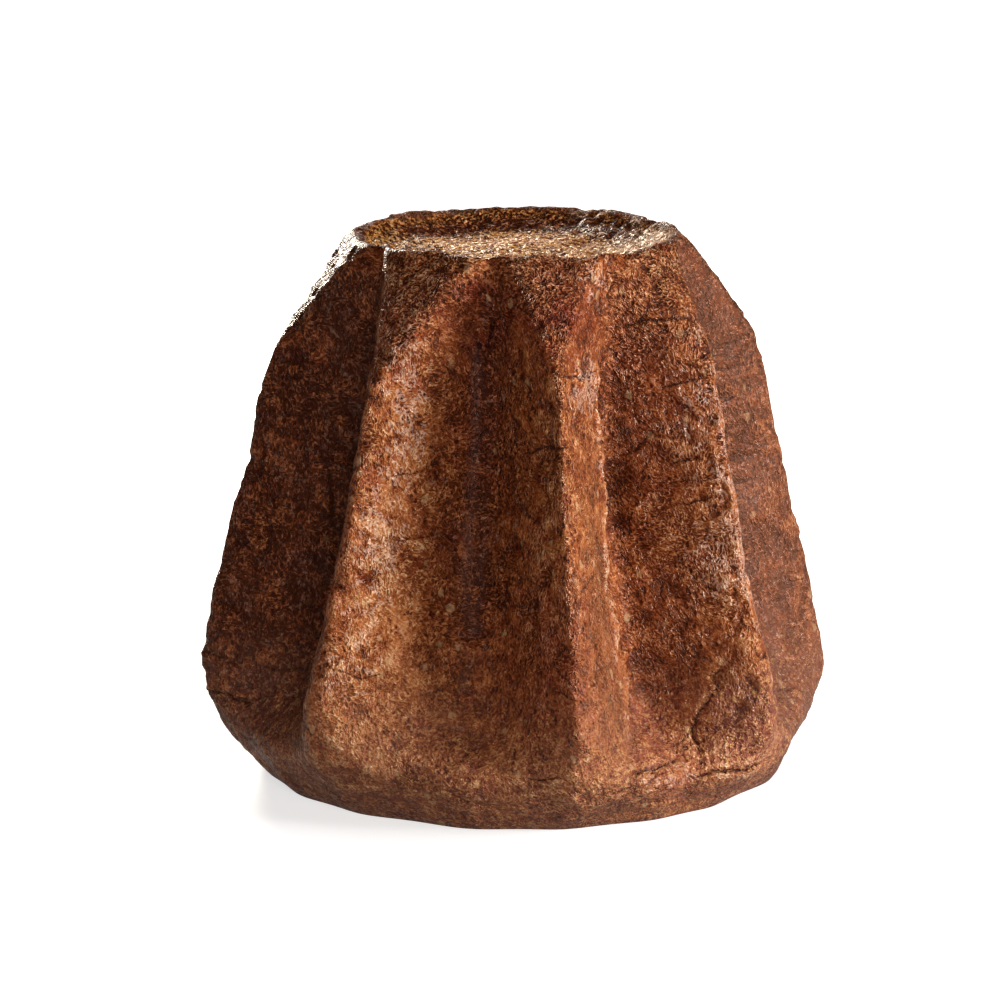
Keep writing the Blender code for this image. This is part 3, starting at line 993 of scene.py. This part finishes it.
# Partly painted light: the golden patches lighten flanks where the lamps fall.
bake = calc("MULTIPLY_ADD", note_of("golden_and_lit"), 0.19, bake)
bake = calc("MULTIPLY_ADD", calc("SUBTRACT", ridge, 0.5), 0.16, bake)
# The dish is lighter: partly the top's own golden colour, partly painted light where the back lamp grazes its
# floor.
bake = calc("MULTIPLY_ADD", dish, 0.26, bake)
# Painted shade on the dish's wall.
bake = calc("MULTIPLY_ADD", note_of("dish_wall_shade"), -0.75, bake)
# Painted shade down one valley.
bake = calc("MULTIPLY_ADD", note_of("valley_band_shade"), -0.16, bake)
# Painted shade on the sides that face the lamps.
bake = calc("MULTIPLY_ADD", note_of("lamp_side_shade"), -0.19, bake)
# Painted shade in the pores' pits.
bake = calc("MULTIPLY_ADD", pores, -0.42, bake)
bake = calc("MULTIPLY_ADD", shade, -0.27, bake)
bake = calc("MULTIPLY_ADD", torn_edge, 0.16, bake)
flecks = spread(fuzz(stretch(places, 1.6, 1.3), 3.0, 0.7), 0.54, 0.62)
bake = calc("MULTIPLY_ADD", low_down, 0.06, bake)
# Painted shade: the crease lines darken, most in the deep creases.
painted_crease_shade = calc("MULTIPLY", crease_line, spread(near_crease, 0.55, 0.9, 0.5, 1.0))
bake = calc("MULTIPLY_ADD", painted_crease_shade, -0.65, bake, clamp=True)

# %% Colours of the bake
CHOCOLATE = (0.07, 0.013, 0.003, 1)
BROWN = (0.2, 0.041, 0.009, 1)
AMBER = (0.4, 0.11, 0.026, 1)
GOLD = (0.62, 0.26, 0.095, 1)
CRUMB = (0.8, 0.47, 0.26, 1)
colours = put("ShaderNodeValToRGB", {"Fac": bake})
colour_stops = colours.color_ramp
colour_stops.elements[0].position = 0.04
colour_stops.elements[0].color = CHOCOLATE
colour_stops.elements[1].position = 0.98
colour_stops.elements[1].color = CRUMB
for position, colour in ((0.3, BROWN), (0.55, AMBER), (0.8, GOLD)):
    stop = colour_stops.elements.new(position)
    stop.color = colour


def tinted(share, under, over, blend="MIX"):
    """Lays one colour over another."""
    made = put(
        "ShaderNodeMix",
        {0: share, 6: under, 7: over},
        data_type="RGBA",
        blend_type=blend,
    )
    return made.outputs[2]


PLUM_AND_SHADE_TINT = (0.7, 0.42, 0.44, 1)
DUSTY = (0.2, 0.074, 0.057, 1)
MAUVE = (0.17, 0.09, 0.075, 1)
FLECK = (0.6, 0.3, 0.11, 1)
PAINTED_SHEEN = (0.85, 0.56, 0.42, 1)
SANDY = (0.76, 0.34, 0.045, 1)
FLAKE = (0.68, 0.4, 0.2, 1)
DISH_SIDE_SHEEN_TINT = (0.82, 0.5, 0.3, 1)
LAMP_SIDE_BROWN = (0.2, 0.085, 0.045, 1)
TAN = (0.34, 0.155, 0.062, 1)
# Plum patches darken the colour: plum red, and painted shade along one crest.
plum_and_shade_share = calc("MULTIPLY", note_of("plum_and_shade"), spread(blotch, 0.35, 0.65, 0.3, 1.0))
plum_and_shade_share = calc("MAXIMUM", plum_and_shade_share, spread(fuzz(stretch(wavy, 9.0, 7.0), 3.0), 0.56, 0.68, 0.0, 0.7))
plum_and_shade_share = calc("MULTIPLY", plum_and_shade_share, calc("SUBTRACT", 1.0, dish))
crust_colour = tinted(plum_and_shade_share, colours.outputs["Color"], PLUM_AND_SHADE_TINT, "MULTIPLY")
# Painted sheen: the glossy film is tinted pale pink where it catches the lamps.
painted_sheen_share = calc("MULTIPLY", calc("MULTIPLY", film_and_sheen, 0.38), calc("SUBTRACT", 1.0, crease_line))
crust_colour = tinted(painted_sheen_share, crust_colour, PAINTED_SHEEN)
dish_floor = calc("SUBTRACT", dish, note_of("dish_wall_shade"), clamp=True)
sandy_grains = calc("MULTIPLY", dish_floor, spread(grain_of, 0.1, 0.9, 0.0, 0.8))
crust_colour = tinted(sandy_grains, crust_colour, SANDY)
thread_or_blotch = calc("ADD", grain_of, calc("MULTIPLY", blotch, 0.6))
dusty_share = calc("MULTIPLY", dusty, spread(thread_or_blotch, 0.3, 1.1, 0.55, 0.1))
dusty_share = calc("MULTIPLY", dusty_share, calc("SUBTRACT", 1.0, crease_line))
crust_colour = tinted(dusty_share, crust_colour, DUSTY)
fleck_share = calc("MULTIPLY", calc("MULTIPLY", flecks, dusty), spread(blotch, 0.36, 0.58, 0.45, 0.95))
crust_colour = tinted(fleck_share, crust_colour, FLECK)
crust_colour = tinted(calc("MULTIPLY", golden_flakes, 0.5), crust_colour, FLAKE)
# Painted sheen on the dish's right inner wall.
dish_side_sheen_share = calc("MULTIPLY", note_of("dish_side_sheen"), spread(blotch, 0.35, 0.6, 0.25, 0.68))
crust_colour = tinted(dish_side_sheen_share, crust_colour, DISH_SIDE_SHEEN_TINT)
# Painted shade: a browner tint on the sides that face the lamps.
crust_colour = tinted(calc("MULTIPLY", note_of("lamp_side_shade"), 0.35), crust_colour, LAMP_SIDE_BROWN)
tan_share = calc("MULTIPLY", note_of("tan"), spread(fine, 0.4, 0.6, 0.05, 0.5))
crust_colour = tinted(tan_share, crust_colour, TAN)
mauve_share = calc("MULTIPLY", note_of("grey_strip"), spread(fine, 0.4, 0.6, 0.15, 0.6))
crust_colour = tinted(mauve_share, crust_colour, MAUVE)

# %% [markdown]
# ## Bump and gloss
#
# The fibres' height is given in metres, so that Bump needs no other scale. Baked crust is
# mostly dull, but its butter gives it a faint gloss that breaks into glints.

# %% Bump and gloss
calm = calc("MULTIPLY_ADD", dish, 0.8, rough)
bump_height = calc("MULTIPLY", calc("MULTIPLY", pits, calm), -3.2 * MM)
bump_height = calc("MULTIPLY_ADD", fine, 0.85 * MM, bump_height)
bump_height = calc("MULTIPLY_ADD", fuzz(stretch(wavy, 2.8, 3.4), 1.0, 0.5, 0.4), 1.6 * MM, bump_height)
bump_height = calc("MULTIPLY_ADD", blotch, 1.5 * MM, bump_height)
bump_height = calc("MULTIPLY_ADD", pores, -0.4 * MM, bump_height)
bump_height = calc("MULTIPLY_ADD", crease_line, -0.5 * MM, bump_height)
bump_height = calc("MULTIPLY_ADD", torn_edge, 0.3 * MM, bump_height)
bump = put("ShaderNodeBump", {"Strength": 1.0, "Distance": 1.0, "Height": bump_height})
dullness = spread(grain_of, 0.2, 0.8, 0.5, 0.27)
dullness = calc("MULTIPLY_ADD", film_and_sheen, -0.12, dullness)
dullness = calc("MULTIPLY_ADD", dish, 0.2, dullness)
dullness = calc("MULTIPLY_ADD", note_of("rim"), 0.25, dullness)
shine = calc("MULTIPLY_ADD", grain_of, 0.85, 0.2)
shine = calc("MULTIPLY_ADD", film_and_sheen, 0.3, shine)
shine = calc("MULTIPLY_ADD", dish, -0.3, shine)
shine = calc("MULTIPLY_ADD", note_of("rim"), -0.2, shine)
surface = put(
    "ShaderNodeBsdfPrincipled",
    {
        "Base Color": crust_colour,
        "Roughness": dullness,
        "Normal": bump.outputs["Normal"],
        "Specular IOR Level": calc("MAXIMUM", shine, 0.08),
        "Specular Tint": (1.0, 0.8, 0.68, 1.0),
        "Coat Weight": 0.03,
        "Coat Roughness": 0.32,
    },
)
put("ShaderNodeOutputMaterial", {"Surface": surface.outputs["BSDF"]})
crust.data.materials.append(baked)
print("nodes in the crust's material:", len(nodes))

# %% [markdown]
# ## Tie the crust to the solid
#
# The crust stands for the whole solid and moves with it.

# %% Tie the crust to the solid
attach(crust, "root")
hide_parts("pandoro")

# %% [markdown]
# ## Table and light
#
# The cake stands on a plain white table. A soft box at the right, far round to the side, is
# the main light, so that the flanks fall into shade and every thread throws a little shadow.
# A lamp high at the back left draws the rim and makes the dish glow, and a weak one in front
# keeps the shade readable. The table shines towards the camera, and much less towards the
# cake: if it lit the cake as brightly, the brown shade would turn grey.

# %% The table
# The camera sees the table's own glow, which is dimmer near the cake: a painted soft shadow.
# The cake is lit by a duller and greyer table.
TABLE_WIDTH = 6
NEAR_THE_CAKE, AWAY_FROM_IT = 0.105, 0.24
PAINTED_SHADOW_GLOW, FULL_GLOW = 0.66, 1.0
GLOW_ON_THE_CAKE = 0.15
GREY_FOR_THE_CAKE, GREY_IN_VIEW = 0.2, 0.6
bpy.ops.mesh.primitive_plane_add(size=TABLE_WIDTH, location=(0, 0, 0))
table = bpy.context.active_object
table.name = "table"
white = bpy.data.materials.new("white_table")
white.use_nodes = True
paint = white.node_tree.nodes["Principled BSDF"]
paint.inputs["Roughness"].default_value = 0.8
paint.inputs["Emission Color"].default_value = (1, 1, 1, 1)
table_tree = white.node_tree
who_looks = table_tree.nodes.new("ShaderNodeLightPath")
where_on_table = table_tree.nodes.new("ShaderNodeTexCoord")
from_the_middle = table_tree.nodes.new("ShaderNodeVectorMath")
from_the_middle.operation = "LENGTH"
glow_with_painted_shadow = table_tree.nodes.new("ShaderNodeMapRange")
glow = table_tree.nodes.new("ShaderNodeMapRange")
glow_with_painted_shadow.inputs["From Min"].default_value = NEAR_THE_CAKE
glow_with_painted_shadow.inputs["From Max"].default_value = AWAY_FROM_IT
glow_with_painted_shadow.inputs["To Min"].default_value = PAINTED_SHADOW_GLOW
glow_with_painted_shadow.inputs["To Max"].default_value = FULL_GLOW
glow.inputs["To Min"].default_value = GLOW_ON_THE_CAKE
table_tree.links.new(where_on_table.outputs["Object"], from_the_middle.inputs[0])
table_tree.links.new(from_the_middle.outputs["Value"], glow_with_painted_shadow.inputs["Value"])
table_tree.links.new(glow_with_painted_shadow.outputs["Result"], glow.inputs["To Max"])
table_tree.links.new(who_looks.outputs["Is Camera Ray"], glow.inputs["Value"])
table_tree.links.new(glow.outputs["Result"], paint.inputs["Emission Strength"])
greys = table_tree.nodes.new("ShaderNodeMapRange")
greys.inputs["To Min"].default_value = GREY_FOR_THE_CAKE
greys.inputs["To Max"].default_value = GREY_IN_VIEW
table_tree.links.new(who_looks.outputs["Is Camera Ray"], greys.inputs["Value"])
table_tree.links.new(greys.outputs["Result"], paint.inputs["Base Color"])
table.data.materials.append(white)

# %% The lamps
LAMPS_AIM = Vector((0, 0, 0.09))


def soft_box(name, azimuth, elevation, distance, width, height, power, colour):
    """A rectangular lamp that faces the middle of the cake, in degrees, metres and watts."""
    towards = outward(azimuth) * math.cos(math.radians(elevation))
    towards.z = math.sin(math.radians(elevation))
    lamp = bpy.data.lights.new(name, "AREA")
    lamp.shape = "RECTANGLE"
    lamp.size = width
    lamp.size_y = height
    lamp.energy = power
    lamp.color = colour
    holder = bpy.data.objects.new(name, lamp)
    holder.location = LAMPS_AIM + towards * distance
    holder.rotation_mode = "QUATERNION"
    holder.rotation_quaternion = towards.to_track_quat("Z", "Y")
    bpy.context.scene.collection.objects.link(holder)


soft_box("main_light", 69, 14, 1.3, 0.4, 0.6, 24, (1.0, 0.99, 0.98))
soft_box("back_light", -159, 20, 1.2, 0.3, 0.25, 26, (1.0, 0.92, 0.79))
soft_box("front_fill", 6, 22, 1.5, 0.5, 0.5, 7.2, (1.0, 0.94, 0.89))

# %% The room
# The camera sees a white room, but the cake is lit by a dim, warm one.
room = bpy.data.worlds.new("white_room")
room.use_nodes = True
bpy.context.scene.world = room
room_nodes = room.node_tree.nodes
room_links = room.node_tree.links
seen = room_nodes.new("ShaderNodeBackground")
seen.inputs["Color"].default_value = (1, 1, 1, 1)
seen.inputs["Strength"].default_value = 1.0
lighting = room_nodes["Background"]
lighting.inputs["Color"].default_value = (1, 0.86, 0.76, 1)
lighting.inputs["Strength"].default_value = 0.065
rays = room_nodes.new("ShaderNodeLightPath")
either = room_nodes.new("ShaderNodeMixShader")
room_links.new(rays.outputs["Is Camera Ray"], either.inputs["Fac"])
room_links.new(lighting.outputs["Background"], either.inputs[1])
room_links.new(seen.outputs["Background"], either.inputs[2])
room_links.new(either.outputs["Shader"], room_nodes["World Output"].inputs["Surface"])
bpy.context.scene.view_settings.view_transform = "Standard"

# %% [markdown]
# ## Camera
#
# The camera stands in front of the cake and a little above it, far enough away that the
# cake isn't distorted.

# %% Camera
AIM = Vector((-6.2 * MM, 0, 94.5 * MM))
DISTANCE = 1.4
ELEVATION = math.radians(12.5)
SENSOR = 36.0
# The cake is 0.22 m wide and takes up 0.624 of the picture's width.
CAKE_WIDTH = 0.22
CAKE_SHARE = 0.624
back = Vector((0, -math.cos(ELEVATION), math.sin(ELEVATION)))
view_camera = bpy.data.cameras.new("camera")
view_camera.sensor_width = SENSOR
view_camera.lens = SENSOR * (CAKE_SHARE / CAKE_WIDTH) * DISTANCE
tripod = bpy.data.objects.new("camera", view_camera)
tripod.location = AIM + back * DISTANCE
tripod.rotation_mode = "QUATERNION"
tripod.rotation_quaternion = back.to_track_quat("Z", "Y")
bpy.context.scene.collection.objects.link(tripod)
bpy.context.scene.camera = tripod
